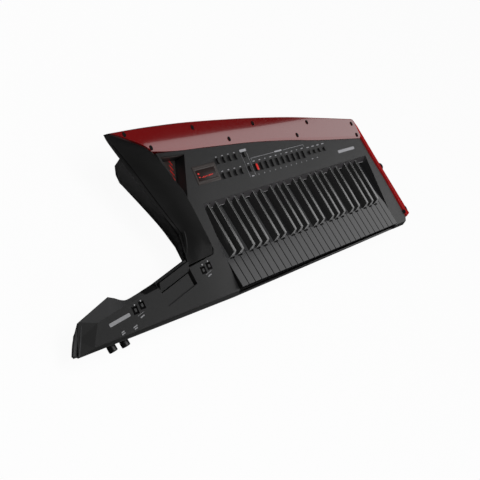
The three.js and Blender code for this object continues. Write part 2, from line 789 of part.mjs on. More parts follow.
// All caps of the panel on one flexible web under it
function panelButtonSet() {
  const top = -wall - webGap;
  const low = top - webThickness;
  const buttons = panelButtons();
  const caps = buttons.map((button) => cap(button, low, buttonRise, 0, onPanel));
  const [front, back] = buttonRowShares.map(deep).map(upSlope);
  const first = buttons[0][0] - webMargin;
  const solo = along(buttonColumnShares[1]) + webMargin;
  const last = buttons[buttons.length - 1][0] + webMargin;
  const webs = [
    box(first, solo, front - webMargin, back + webMargin, low, top, onPanel),
    box(first, last, front - webMargin, front + webMargin, low, top, onPanel),
  ];
  return joined([...webs, ...caps]);
}

// The two pairs of square buttons on the neck's face, on one rail that passes in front of the recess
function neckButtonSet() {
  const top = -wall - webGap;
  const low = top - webThickness;
  const places = neckButtons();
  const caps = places.map(([x, y]) => cap([x, y, neckCapWidth, neckCapDepth, false], low, 0, 0, onPanel));
  const first = places[0][0] - webMargin;
  const last = places[places.length - 1][0] + webMargin;
  const front = wall + neckRailSetback;
  const rail = box(first, last, front, front + neckRail, low, top, onPanel);
  const tabs = places.map(([x, y]) => box(x - webMargin, x + webMargin, front, y, low, top, onPanel));
  return joined([rail, ...tabs, ...caps]);
}

// The modulation bar: a sloping plate on a leg whose round foot is its hinge, at the back of the recess
function modulationBar() {
  const back = recessDepth - fitGap;
  const front = back - modBarDepth;
  const hingeZ = hingeHeight();
  const profile = [
    [front, -modBarSink - modBarThickness],
    [back - modBarThickness, modBarRise - 2 * modBarThickness],
    [back - modBarThickness, hingeZ],
    [back, hingeZ],
    [back, modBarRise],
    [front, -modBarSink],
  ];
  const plate = acrossX(profile, fitGap, recessWidth - fitGap);
  const start = [fitGap, back - hingeRadius, hingeZ];
  return plate.add(rod(hingeRadius, recessWidth - 2 * fitGap, start, "x"));
}

function hingeHeight() {
  return hingeRadius + fitGap - shelfDrop;
}

function controlKnob([x, z]) {
  const knob = rod(knobRadius, knobLength, [x, -frontReach, z], "y", 24);
  return knob.add(rod(shaftRadius, knobLength + shaftReach, [x, wall - frontReach, z], "y"));
}

// The main circuit board on its posts behind the keybed
function mainBoard() {
  const [x, y] = place(boardShares);
  const z = floorZ + boardRise;
  const left = x - boardLength / 2;
  const front = y - boardDepth / 2;
  const pieces = [box(left, left + boardLength, front, front + boardDepth, z, z + boardThickness)];
  [left + boardPost, left + boardLength - 2 * boardPost].forEach((postX) => {
    [front + boardPost, front + boardDepth - 2 * boardPost].forEach((postY) => {
      pieces.push(box(postX, postX + boardPost, postY, postY + boardPost, floorZ + fitGap,
        z + boardThickness / 2));
    });
  });
  for (let i = 1; i <= 4; i += 1) {
    const chipX = left + (i * boardLength) / 5;
    pieces.push(box(chipX, chipX + chipSize, y, y + chipSize, z + boardThickness / 2,
      z + boardThickness + chipHeight));
  }
  return joined(pieces);
}

function meshOf(name, solid, material) {
  const mesh = new THREE.Mesh(geometryOf(solid), material);
  mesh.name = name;
  return mesh;
}

// All keys from the first C to the last, sharing one geometry for each shape
function keys() {
  const group = new THREE.Group();
  const nextSharps = [0, 1, null, 2, 3, 4, null];
  const centreIn = (index, note) => (
    index === null ? null : sharpCentreShares[index] * octaveWidth - note * naturalPitch
  );
  const shapes = noteNames.map((name, note) => naturalKey(
    note === 0 ? null : centreIn(nextSharps[note - 1], note),
    centreIn(nextSharps[note], note),
  ));
  const sharp = sharpKey();
  for (let octave = 0; octave < octaves; octave += 1) {
    noteNames.forEach((name, note) => {
      const key = meshOf(`key_${name}${octave + 1}`, shapes[note], materials.natural);
      key.position.x = octave * octaveWidth + note * naturalPitch;
      group.add(key);
    });
    sharpNames.forEach((name, index) => {
      const key = meshOf(`key_${name}${octave + 1}`, sharp, materials.sharp);
      key.position.x = (octave + sharpCentreShares[index]) * octaveWidth;
      group.add(key);
    });
  }
  const last = meshOf(`key_c${octaves + 1}`, naturalKey(null, null), materials.natural);
  last.position.x = octaves * octaveWidth;
  group.add(last);
  return group;
}

const keytar = new THREE.Group();
const assembly = new THREE.Group();
assembly.position.set(neckLength - bodyLength / 2, frontReach - bodyDepth / 2, keyTopHeight);
keytar.add(assembly);
assembly.add(meshOf("bottom_case", bottomCase(), materials.case));
assembly.add(meshOf("top_case", topCase(), materials.case));
assembly.add(meshOf("edge_blade", edgeBlade(), materials.blade));
assembly.add(meshOf("wing_cover", wingCover(), materials.wing));
assembly.add(meshOf("key_bed", keyBed(), materials.frame));
assembly.add(meshOf("main_board", mainBoard(), materials.board));
assembly.add(meshOf("panel_buttons", panelButtonSet(), materials.rubber));
assembly.add(meshOf("neck_buttons", neckButtonSet(), materials.rubber));
assembly.add(keys());

const bar = meshOf("modulation_bar", modulationBar(), materials.case);
bar.applyMatrix4(recessFrame);
assembly.add(bar);
knobPlaces().forEach((place, i) => {
  assembly.add(meshOf(`control_knob_${i + 1}`, controlKnob(place), materials.rubber));
});

export default keytar;
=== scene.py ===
import math

import bmesh
import bpy
from mathutils import Matrix, Vector


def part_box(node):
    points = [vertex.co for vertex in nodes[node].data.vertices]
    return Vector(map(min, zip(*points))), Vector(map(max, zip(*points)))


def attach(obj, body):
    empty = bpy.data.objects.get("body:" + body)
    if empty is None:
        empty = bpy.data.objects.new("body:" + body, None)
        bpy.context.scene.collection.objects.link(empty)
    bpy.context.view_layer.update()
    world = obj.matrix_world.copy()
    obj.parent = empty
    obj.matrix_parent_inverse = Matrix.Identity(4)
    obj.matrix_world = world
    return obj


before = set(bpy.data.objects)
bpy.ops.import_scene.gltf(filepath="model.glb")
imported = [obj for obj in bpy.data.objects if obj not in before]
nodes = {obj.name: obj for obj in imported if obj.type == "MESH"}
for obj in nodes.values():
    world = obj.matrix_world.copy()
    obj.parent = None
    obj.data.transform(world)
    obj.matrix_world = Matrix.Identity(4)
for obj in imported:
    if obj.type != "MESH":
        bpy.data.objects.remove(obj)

bpy.ops.object.select_all(action="DESELECT")
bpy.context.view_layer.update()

# Camera: stands at the player's left and looks down along the keys to the right end.
# A long lens on a square frame, rolled so that the neck hangs down to the lower left.
camera_place = Vector((-2.4790, -0.3497, 1.2732))
camera_right = Vector((0.43670765, -0.51616461, 0.73679069))
camera_up = Vector((0.15489767, 0.84992905, 0.50361426))
camera_back = Vector((-0.88616767, -0.10580504, 0.45112321))
bpy.ops.object.camera_add()
camera = bpy.context.object
camera.matrix_world = Matrix((
    (camera_right.x, camera_up.x, camera_back.x, camera_place.x),
    (camera_right.y, camera_up.y, camera_back.y, camera_place.y),
    (camera_right.z, camera_up.z, camera_back.z, camera_place.z),
    (0, 0, 0, 1)))
camera.data.sensor_width = 36
camera.data.lens = 126.32
bpy.context.scene.camera = camera
bpy.context.scene.view_settings.view_transform = "Standard"


# Studio: a pale floor, and one wide soft light far to the right whose leaning back edge shows in the
# glossy blade. Weaker lights stand above and in front. The surroundings are white to the camera and
# dim in reflections.
class Shade:
    """A socket of a material's nodes. Sums and products of it add Math nodes."""

    def __init__(self, tree, socket):
        self.tree = tree
        self.socket = socket

    def make(self, kind, settings=None, sockets=None, output=0):
        """A new node: its settings come first, then the values or links of its sockets."""
        node = self.tree.nodes.new(kind)
        for name, value in (settings or {}).items():
            setattr(node, name, value)
        for name, value in (sockets or {}).items():
            if isinstance(value, Shade):
                self.tree.links.new(value.socket, node.inputs[name])
            else:
                node.inputs[name].default_value = value
        return Shade(self.tree, node.outputs[output])

    def math(self, operation, *values):
        return self.make("ShaderNodeMath", {"operation": operation}, dict(enumerate(values)))

    def clear_step(self, low, high):
        """Rises smoothly from 0 below low to 1 above high, or falls where low is the greater."""
        return self.make("ShaderNodeMapRange", {"interpolation_type": "SMOOTHSTEP"},
                         {"Value": self, "From Min": low, "From Max": high})

    def blend(self, below, above):
        """A colour from below where this socket is 0 to above where it is 1."""
        first_colour, second_colour, mixed_colour = 6, 7, 2
        sockets = {0: self}
        for index, colour in ((first_colour, below), (second_colour, above)):
            sockets[index] = colour if isinstance(colour, Shade) else (*colour, 1)
        return self.make("ShaderNodeMix", {"data_type": "RGBA"}, sockets, mixed_colour)

    def __add__(self, other):
        return self.math("ADD", self, other)

    def __sub__(self, other):
        return self.math("SUBTRACT", self, other)

    def __rsub__(self, other):
        return self.math("SUBTRACT", other, self)

    def __mul__(self, other):
        return self.math("MULTIPLY", self, other)

    __radd__ = __add__
    __rmul__ = __mul__


def material(name):
    """A new material and the Shade of its Principled shader."""
    made = bpy.data.materials.new(name)
    made.use_nodes = True
    shader = made.node_tree.nodes["Principled BSDF"]
    return made, Shade(made.node_tree, shader.outputs[0])


def seen_by(shade):
    """1 for what the camera sees, for what is mirrored and for what shows through glass."""
    return [shade.make("ShaderNodeLightPath", output=f"Is {ray} Ray")
            for ray in ("Camera", "Glossy", "Transmission")]


surround_grey, mirrored_surround = (0.10, 0.10, 0.10), (0.015, 0.015, 0.015)
world = bpy.data.worlds.new("studio")
bpy.context.scene.world = world
world.use_nodes = True
sky = Shade(world.node_tree, None)
by_camera, by_gloss, through_glass = seen_by(sky)
studio_grey = by_gloss.blend(surround_grey, mirrored_surround)
backdrop = (by_camera + through_glass).blend(studio_grey, (1, 1, 1))
world.node_tree.links.new(backdrop.socket, world.node_tree.nodes["Background"].inputs["Color"])

floor_grey, mirrored_floor = (0.8, 0.8, 0.8), (0.04, 0.04, 0.04)
white_in_view, white_in_gloss = 0.95, 0.01
bpy.ops.mesh.primitive_plane_add(size=30, location=(0, 0, 0))
floor = bpy.context.object
floor.name = "floor"
floor_paint, shade = material("pale_floor")
by_camera, by_gloss, through_glass = seen_by(shade)
white = shade.make("ShaderNodeEmission", sockets={"Color": (1, 1, 1, 1), "Strength": 1.0})
grey = shade.make("ShaderNodeBsdfDiffuse", sockets={"Color": by_gloss.blend(floor_grey, mirrored_floor)})
white_share = (by_camera + through_glass) * white_in_view + by_gloss * white_in_gloss
finish = shade.make("ShaderNodeMixShader", sockets={0: white_share, 1: grey, 2: white})
shade.tree.links.new(finish.socket, shade.tree.nodes["Material Output"].inputs["Surface"])
floor.data.materials.append(floor_paint)


def soft_light(name, place, aim, width, height, radiance, lean=0.0):
    """A rectangular light whose power gives the same brightness at any size."""
    bpy.ops.object.light_add(type="AREA", location=place)
    light = bpy.context.object
    light.name = name
    light.data.shape = "RECTANGLE"
    light.data.size = width
    light.data.size_y = height
    light.data.energy = radiance * math.pi * width * height
    facing = (Vector(aim) - Vector(place)).to_track_quat("-Z", "Y").to_matrix()
    light.rotation_euler = (facing @ Matrix.Rotation(lean, 3, "Z")).to_euler()


soft_light("right_light", (2.341, -1.846, 1.145), (0, -1.846, 1.145), width=4.0, height=1.35,
           radiance=0.88, lean=math.radians(-6.7))
soft_light("top_light", (-0.9, -0.1, 2.4), (0, 0, 0), width=1.8, height=1.8, radiance=4.0)
soft_light("front_light", (-0.2, -2.6, 0.7), (0, -0.1, 0.05), width=3.6, height=2.2, radiance=1.3)


# Lower case: an injection-moulded tub of black plastic with a fine spark-eroded grain.
# Its walls lean in to a flat base, so it shows as a dark band under the neck and the wing.
def paint(shade, **sockets):
    """Sets or links the Principled shader's sockets by name, with _ for a space."""
    shader = shade.tree.nodes["Principled BSDF"]
    for name, value in sockets.items():
        target = shader.inputs[name.replace("_", " ")]
        if isinstance(value, Shade):
            shade.tree.links.new(value.socket, target)
        else:
            target.default_value = value


def place_on_piece(shade):
    """The shaded point's own coordinates, in metres, so that a pattern stays on its piece."""
    return shade.make("ShaderNodeTexCoord", output="Object")


def mottle(shade, scale, detail=2.0):
    """Noise with about as many spots to the metre as the scale says."""
    return shade.make("ShaderNodeTexNoise",
                      sockets={"Vector": place_on_piece(shade), "Scale": scale, "Detail": detail})


def relief(shade, height, strength):
    """A bump up to a tenth of a millimetre high that follows the height."""
    return shade.make("ShaderNodeBump", sockets={"Strength": strength, "Distance": 0.0001, "Height": height})


grain_scale = 1500.0


def plastic(name, colour, roughness, grain, specular=0.5):
    """Moulded plastic: a fine grain, and a faint clouding of its tone and gloss."""
    made, shade = material(name)
    speckle = mottle(shade, grain_scale)
    cloud = mottle(shade, 9.0, detail=3.0)
    tone = cloud.blend([c * 0.85 for c in colour], [c * 1.15 for c in colour])
    paint(shade, Base_Color=tone, Roughness=roughness + (cloud - 0.5) * 0.1 + (speckle - 0.5) * 0.06,
          Normal=relief(shade, speckle, grain), Specular_IOR_Level=specular)
    return made


def soften(node, width, segments=2, angle=25):
    """Live modifiers that round the moulded edges of a CAD node and smooth its curved sides."""
    bpy.context.view_layer.objects.active = node
    node.select_set(True)
    bpy.ops.object.shade_smooth()
    node.select_set(False)
    weld = node.modifiers.new("weld", "WELD")
    weld.merge_threshold = 0.00001
    flat = node.modifiers.new("flat", "DECIMATE")
    flat.decimate_type = "DISSOLVE"
    flat.angle_limit = math.radians(0.6)
    edge = node.modifiers.new("edge", "BEVEL")
    edge.width = width
    edge.segments = segments
    edge.limit_method = "ANGLE"
    edge.angle_limit = math.radians(angle)
    edge.harden_normals = True
    normals = node.modifiers.new("normals", "WEIGHTED_NORMAL")
    normals.keep_sharp = True


def coat(node, made):
    node.data.materials.clear()
    node.data.materials.append(made)


case_plastic = plastic("case_plastic", (0.044, 0.044, 0.045), roughness=0.45, grain=0.5)
coat(nodes["bottom_case"], case_plastic)
soften(nodes["bottom_case"], width=0.0007)

# Keybed: a folded steel plate on legs with a round rail for the keys, screwed into the lower case.
# It is zinc plated, and faintly streaked along its length from rolling.
steel, shade = material("rolled_steel")
stretched = shade.make("ShaderNodeMapping",
                       sockets={"Vector": place_on_piece(shade), "Scale": (8.0, 900.0, 900.0)})
streak = shade.make("ShaderNodeTexNoise", sockets={"Vector": stretched, "Scale": 1.0, "Detail": 4.0})
paint(shade, Base_Color=streak.blend((0.42, 0.43, 0.44), (0.58, 0.59, 0.60)), Metallic=1.0,
      Roughness=0.3 + streak * 0.2, Normal=relief(shade, streak, strength=0.15))
coat(nodes["key_bed"], steel)
soften(nodes["key_bed"], width=0.0003, segments=1)

# Main board: green glass-fibre laminate on posts of the lower case, with fine copper tracks
# under its lacquer. The tracks show as a paler net.
board_green, shade = material("board_green")
black, white = (0, 0, 0, 1), (1, 1, 1, 1)
tracks = shade.make("ShaderNodeTexBrick", {"offset": 0.5},
                    {"Vector": place_on_piece(shade), "Scale": 260.0, "Mortar Size": 0.06,
                     "Color1": black, "Color2": black, "Mortar": white})
paint(shade, Base_Color=tracks.blend((0.012, 0.07, 0.022), (0.05, 0.16, 0.06)),
      Roughness=0.35 - tracks * 0.1, Coat_Weight=0.4)
coat(nodes["main_board"], board_green)
soften(nodes["main_board"], width=0.0002, segments=1)


# Rubber feet: six soft black rings, moulded and pressed round the bosses under the lower case.
# They end just short of the bosses, which stand on the table.
def pick(piece, kind, chosen):
    """Opens a piece in edit mode with only the faces or edges selected that the test chooses."""
    bpy.ops.object.mode_set(mode="EDIT")
    bpy.ops.mesh.select_mode(type=kind)
    bpy.ops.mesh.select_all(action="DESELECT")
    mesh = bmesh.from_edit_mesh(piece.data)
    for part in mesh.faces if kind == "FACE" else mesh.edges:
        part.select_set(bool(chosen(part)))
    mesh.select_flush_mode()
    bmesh.update_edit_mesh(piece.data)


def inset_and_move(rim, rise):
    """Leaves a rim round the selected face, and moves the rest of it along Z."""
    bpy.ops.mesh.inset(thickness=rim)
    bpy.ops.transform.translate(value=(0, 0, rise))


def round_edges(piece, width, segments=2):
    edge = piece.modifiers.new("edge", "BEVEL")
    edge.width = width
    edge.segments = segments
    edge.limit_method = "ANGLE"
    edge.angle_limit = math.radians(30)
    bpy.context.view_layer.objects.active = piece
    bpy.ops.object.modifier_apply(modifier="edge")


def copy_of(piece):
    """A copy of a modelled piece with its own mesh."""
    copied = piece.copy()
    copied.data = piece.data.copy()
    bpy.context.collection.objects.link(copied)
    return copied


def place_piece(piece, name, body, made, frame_matrix=None):
    """Puts a modelled piece in its place with its object at the origin, coats it and lets it ride."""
    if frame_matrix is not None:
        piece.matrix_world = frame_matrix @ piece.matrix_world
    bpy.ops.object.select_all(action="DESELECT")
    piece.select_set(True)
    bpy.context.view_layer.objects.active = piece
    bpy.ops.object.transform_apply(location=True, rotation=True, scale=True)
    bpy.ops.object.shade_smooth_by_angle(angle=math.radians(35))
    piece.select_set(False)
    piece.name = name
    piece.data.name = name
    coat(piece, made)
    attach(piece, body)


rubber = plastic("black_rubber", (0.010, 0.010, 0.010), roughness=0.62, grain=0.3, specular=0.3)
foot_places = ((-0.5326, -0.1174), (-0.3692, -0.1117), (-0.1317, -0.0931), (0.5021, -0.0931),
               (0.4271, 0.0416), (-0.1454, 0.0901))
foot_middle = 0.0016
bpy.ops.mesh.primitive_cylinder_add(vertices=32, radius=0.0086, depth=0.0029)
ring = bpy.context.object
pick(ring, "FACE", lambda face: face.normal.z < -0.9)
inset_and_move(rim=0.0022, rise=0.0001)
bpy.ops.object.mode_set(mode="OBJECT")
round_edges(ring, width=0.0004)
for index, (x, y) in enumerate(foot_places):
    place_piece(copy_of(ring), f"rubber_foot_{index + 1}", "body", rubber,
                Matrix.Translation((x, y, foot_middle)))
bpy.data.objects.remove(ring)


# Strap pins: turned black metal buttons with a domed, dimpled head, worn a little by the strap.
# One is screwed to the right end and one to the back.
def pick_top(piece):
    pick(piece, "FACE", lambda face: face.normal.z > 0.9)


black_metal, shade = material("black_metal")
worn = mottle(shade, 220.0, detail=4.0)
paint(shade, Base_Color=worn.blend((0.010, 0.010, 0.011), (0.028, 0.028, 0.03)), Metallic=0.6,
      Roughness=0.3 + worn * 0.15)
bpy.ops.mesh.primitive_cylinder_add(vertices=40, radius=0.0086, depth=0.0042)
pin = bpy.context.object
pick_top(pin)
inset_and_move(rim=0.0028, rise=0.0009)
inset_and_move(rim=0.0016, rise=-0.0006)
inset_and_move(rim=0.0012, rise=-0.0012)
bpy.ops.object.mode_set(mode="OBJECT")
round_edges(pin, width=0.0007, segments=3)
pin_places = ((0.5950, -0.0187, 0.0528, "Y", 90), (-0.2057, 0.1346, 0.0528, "X", -90))
for index, (x, y, z, axis, turn) in enumerate(pin_places):
    place_piece(copy_of(pin), f"strap_pin_head_{index + 1}", "body", black_metal,
                Matrix.Translation((x, y, z)) @ Matrix.Rotation(math.radians(turn), 4, axis))
bpy.data.objects.remove(pin)

# Jack nuts: four nickel-plated rings in the back of the lower case, each turned down on the
# threaded collar of its socket.
nickel, shade = material("nickel_plate")
haze = mottle(shade, 300.0, detail=3.0)
paint(shade, Base_Color=haze.blend((0.50, 0.49, 0.47), (0.62, 0.61, 0.58)), Metallic=1.0,
      Roughness=0.2 + haze * 0.12)
bpy.ops.mesh.primitive_cylinder_add(vertices=32, radius=0.0057, depth=0.0080, end_fill_type="NOTHING")
nut = bpy.context.object
wall = nut.modifiers.new("wall", "SOLIDIFY")
wall.thickness = 0.0021
wall.offset = -1
bpy.ops.object.modifier_apply(modifier="wall")
round_edges(nut, width=0.0004)
first_jack = Vector((0.0114, 0.1090, 0.0140))
jack_pitch = Vector((0.026, 0, 0))
along_y = Matrix.Rotation(math.radians(90), 4, "X")
for index in range(4):
    place_piece(copy_of(nut), f"jack_nut_{index + 1}", "body", nickel,
                Matrix.Translation(first_jack + jack_pitch * index) @ along_y)
bpy.data.objects.remove(nut)


# Battery door latch: a slider of black rubberised plastic with five ribs for the thumb, which clicks
# into the door's right edge in the base.
def join_pieces(pieces):
    bpy.ops.object.select_all(action="DESELECT")
    for piece in pieces:
        piece.select_set(True)
    bpy.context.view_layer.objects.active = pieces[0]
    bpy.ops.object.join()
    return pieces[0]


latch_place = (0.2550, 0.0, 0.0030)
rib_pitch = 0.0025
bpy.ops.mesh.primitive_cube_add(size=1, scale=(0.016, 0.022, 0.0012))
latch = bpy.context.object
bpy.ops.object.transform_apply(scale=True)
round_edges(latch, width=0.0004)
bpy.ops.mesh.primitive_cube_add(size=1, scale=(0.0011, 0.017, 0.0012), location=(0, 0, -0.0007))
rib = bpy.context.object
ribs = [copy_of(rib) for _ in range(5)]
for index, copied in enumerate(ribs):
    copied.location.x = rib_pitch * (index - 2)
bpy.data.objects.remove(rib)
place_piece(join_pieces([latch, *ribs]), "battery_latch", "body", rubber,
            Matrix.Translation(latch_place))


# Upper case: one moulded shell with the neck's face, the cheeks, the panel and the fallboard, whose
# sloping front is a paler satin grey, made paler still by a painted reflection, with a painted highlight
# along its lower lip. The neck's face is painted darker as shade. The facets at the neck's end are
# blasted matt, painted lighter as light, and painted dark as shade where they face its tip.
def place_along(shade, axis):
    """Where the shaded point is along X, Y or Z of its piece, in metres."""
    return shade.make("ShaderNodeSeparateXYZ", sockets={"Vector": place_on_piece(shade)}, output=axis)


def facing(shade):
    """The direction that the surface faces."""
    return shade.make("ShaderNodeNewGeometry", output="Normal")


def facing_along(shade, axis):
    """How squarely the surface faces along X, Y or Z, from -1 to 1."""
    return shade.make("ShaderNodeSeparateXYZ", sockets={"Vector": facing(shade)}, output=axis)


def beyond(place, limit, half_edge=0.0002):
    """1 past the limit and 0 before it."""
    return place.clear_step(limit - half_edge, limit + half_edge)


panel_tilt = math.radians(8.88)
panel_normal = Vector((0, -math.sin(panel_tilt), math.cos(panel_tilt)))
panel_plastic, shade = material("panel_plastic")
across, back, height = [place_along(shade, axis) for axis in "XYZ"]
speckle = mottle(shade, grain_scale)
cloud = mottle(shade, 7.0, detail=3.0)
fallboard_left, fallboard_right = -0.1610, 0.5245
fallboard_front, fallboard_back = -0.0010, 0.0064
fallboard_foot, lip_top = 0.0562, 0.0593
fallboard = (beyond(across, fallboard_left) * (1 - beyond(across, fallboard_right))
             * beyond(back, fallboard_front) * (1 - beyond(back, fallboard_back))
             * beyond(height, fallboard_foot))
lip_highlight = fallboard * (1 - beyond(height, lip_top))
# Facets are what slopes off from the panel's plane near the neck's end; they get a painted light,
# and those that face its tip a painted shade.
level = shade.make("ShaderNodeVectorMath", {"operation": "DOT_PRODUCT"},
                   {0: facing(shade), 1: panel_normal}, "Value")
endward = facing_along(shade, "X").clear_step(-0.2, -0.26)
upward = facing_along(shade, "Y").clear_step(-0.2, -0.12)
facet = (1 - level.clear_step(0.985, 0.995)) * (1 - across.clear_step(-0.430, -0.425)) * upward
neck = across.clear_step(-0.10, -0.30)
panel_tone = cloud.blend((0.013, 0.013, 0.0135), (0.017, 0.017, 0.0175))
# The neck's face is painted darker than the panel, as shade.
face_tone_neck_shaded = neck.blend(panel_tone, (0.006, 0.006, 0.0062))
facet_light_and_shade = endward.blend((0.036, 0.036, 0.037), (0.005, 0.005, 0.005))
# The fallboard is painted paler as a reflection, and its lower lip pale grey as a highlight.
fallboard_reflection_and_lip_highlight = lip_highlight.blend((0.045, 0.042, 0.045), (0.50, 0.49, 0.50))
paint(shade, Base_Color=fallboard.blend(facet.blend(face_tone_neck_shaded, facet_light_and_shade), fallboard_reflection_and_lip_highlight),
      Roughness=0.42 + (cloud - 0.5) * 0.1 - fallboard * 0.1 + facet * 0.28 + neck * 0.06,
      Normal=relief(shade, speckle, strength=0.5))
coat(nodes["top_case"], panel_plastic)
soften(nodes["top_case"], width=0.0006, angle=14)


# End trim: two soft moulded bars pressed round the neck's end, the thin one on the face and the
# thick one on the rim, with a dark joint between them.
def line_through(points, radius, swells=None):
    """A smooth round bar through the points, as a mesh; swells are its thickness at each of them."""
    bpy.ops.curve.primitive_nurbs_path_add()
    curve = bpy.context.object
    curve.data.splines.clear()
    spline = curve.data.splines.new("NURBS")
    spline.points.add(len(points) - 1)
    for index, (point, place) in enumerate(zip(spline.points, points)):
        point.co = (*place, 1)
        point.radius = swells[index] if swells else 1
    spline.use_endpoint_u = True
    spline.order_u = 3
    spline.resolution_u = 6
    curve.data.bevel_depth = radius
    curve.data.bevel_resolution = 3
    curve.data.use_fill_caps = True
    bpy.ops.object.convert(target="MESH")
    return bpy.context.object


trim_rubber = plastic("trim_rubber", (0.026, 0.026, 0.027), roughness=0.5, grain=0.3)
inner_line = ((-0.5930, -0.0950, 0.0455), (-0.6045, -0.1106, 0.0417), (-0.6145, -0.1235, 0.0386),
              (-0.6226, -0.1360, 0.0342))
outer_line = ((-0.5964, -0.0945, 0.0420), (-0.6089, -0.1082, 0.0377), (-0.6200, -0.1205, 0.0340),
              (-0.6276, -0.1328, 0.0300))
bar = line_through(inner_line, radius=0.0016, swells=(0.5, 1, 1, 0.8))
place_piece(bar, "end_trim_inner", "body", trim_rubber)
bar = line_through(outer_line, radius=0.0036, swells=(0.3, 0.8, 1, 0.9))
place_piece(bar, "end_trim_outer", "body", trim_rubber)


# Display frame: a moulded brown-black bezel with a stepped opening, snapped into the panel's
# pocket beside the window plate.
def on_panel(x, y, rise=0.0):
    """A point on the sloping panel: x from the first key's left side, y from the keys' front line."""
    return Vector((x - 0.159, y - 0.136, 0.048 + y * math.tan(panel_tilt))) + panel_normal * rise


def panel_frame(x, y, rise=0.0, turn=0.0):
    """Lays a piece on the sloping panel, with its own Z out of it."""
    return (Matrix.Translation(on_panel(x, y, rise)) @ Matrix.Rotation(panel_tilt, 4, "X")
            @ Matrix.Rotation(turn, 4, "Z"))


bezel_plastic = plastic("bezel_plastic", (0.040, 0.031, 0.028), roughness=0.4, grain=0.2)
display_frame = panel_frame(0.0495, 0.1875, rise=-0.0002)
bpy.ops.mesh.primitive_cube_add(size=1, scale=(0.0786, 0.0306, 0.0018))
bezel = bpy.context.object
bpy.ops.object.transform_apply(scale=True)
pick_top(bezel)
inset_and_move(rim=0.0034, rise=-0.0006)
inset_and_move(rim=0.0018, rise=0.0005)
inset_and_move(rim=0.0012, rise=-0.0010)
bpy.ops.object.mode_set(mode="OBJECT")
round_edges(bezel, width=0.0003)
place_piece(bezel, "display_bezel", "body", bezel_plastic, display_frame)

# Screen: a pane of dark tinted glass held by the bezel. The red segments of a plain level display
# shine through it, and stand as thin bars on its face.
screen_glass, shade = material("screen_glass")
dust = mottle(shade, 400.0, detail=3.0)
paint(shade, Base_Color=dust.blend((0.022, 0.014, 0.013), (0.030, 0.020, 0.019)),
      Roughness=0.3 + dust * 0.1, Specular_IOR_Level=0.12)
bpy.ops.mesh.primitive_cube_add(size=1, scale=(0.0656, 0.0176, 0.0006))
glass = bpy.context.object
bpy.ops.object.transform_apply(scale=True)
round_edges(glass, width=0.0002)
place_piece(glass, "display_glass", "body", screen_glass, display_frame)

lit_red, shade = material("lit_red")
cells = mottle(shade, 900.0, detail=1.0)
paint(shade, Base_Color=(0.30, 0.006, 0.004, 1), Roughness=0.4,
      Emission_Color=cells.blend((0.75, 0.020, 0.014), (1.0, 0.045, 0.030)), Emission_Strength=0.42)


def bar_on_panel(x, y, width, depth, thick, rise, turn=0.0):
    """A thin bar with rounded ends, laid on the panel."""
    bpy.ops.mesh.primitive_cube_add(size=1, scale=(width, depth, thick))
    bar = bpy.context.object
    bpy.ops.object.transform_apply(scale=True)
    pick(bar, "EDGE", lambda edge: abs((edge.verts[0].co - edge.verts[1].co).z) > thick * 0.9)
    bpy.ops.mesh.bevel(offset=min(width, depth) * 0.3, segments=2)
    bpy.ops.object.mode_set(mode="OBJECT")
    bar.matrix_world = panel_frame(x, y, rise, turn)
    return bar


film = 0.0002
level_bars = [(0.0235, 0.1900, 0.0052, 0.0026), (0.0232, 0.1842, 0.0046, 0.0016)]
for index in range(8):
    depth = 0.0009 + 0.0006 * ((index * 3) % 4)
    level_bars.append((0.0310 + 0.0052 * index, 0.1832 + 0.0002 * index, 0.0030, depth))
marks = [bar_on_panel(*bar, thick=film, rise=film) for bar in level_bars]
place_piece(join_pieces(marks), "display_bars", "body", lit_red)

# Window plate: a brown-black plastic plate at the bottom of the triangular well beside the wing,
# folded up the well's back wall and glued in from above. It is printed with slanting red stripes that
# have a faint painted glow.
plate_corners = ((-0.0405, 0.1580), (0.0056, 0.2255), (-0.0685, 0.2295))
well_depth, wall_height, wall_front = 0.0193, 0.0165, 0.08
bpy.ops.mesh.primitive_circle_add(vertices=3, fill_type="NGON")
plate = bpy.context.object
for vertex, (x, y) in zip(plate.data.vertices, plate_corners):
    vertex.co = on_panel(x, y, rise=-well_depth)
pick(plate, "EDGE", lambda edge: min(vertex.co.y for vertex in edge.verts) > wall_front)
bpy.ops.mesh.extrude_region_move(TRANSFORM_OT_translate={"value": panel_normal * wall_height})
bpy.ops.object.mode_set(mode="OBJECT")
thick = plate.modifiers.new("thick", "SOLIDIFY")
thick.thickness = 0.0010
thick.offset = 0
bpy.ops.object.modifier_apply(modifier="thick")
round_edges(plate, width=0.0002)
place_piece(plate, "window_plate", "body", bezel_plastic)

printed_red, shade = material("printed_red")
wear = mottle(shade, 500.0, detail=3.0)
# The stripes' faint emission is a painted glow; the print is no lamp.
paint(shade, Base_Color=wear.blend((0.30, 0.012, 0.010), (0.42, 0.020, 0.016)), Roughness=0.45,
      Emission_Color=(0.5, 0.01, 0.008, 1), Emission_Strength=0.12)
stripe_rise, stripe_turn = -0.0187, math.radians(-58)
stripe_middles = [(-0.0125 - 0.0035 * index, 0.2215 - 0.0080 * index) for index in range(5)]
stripes = [bar_on_panel(x, y, 0.0120, 0.0026, film, stripe_rise, stripe_turn) for x, y in stripe_middles]
place_piece(join_pieces(stripes), "window_stripes", "body", printed_red)

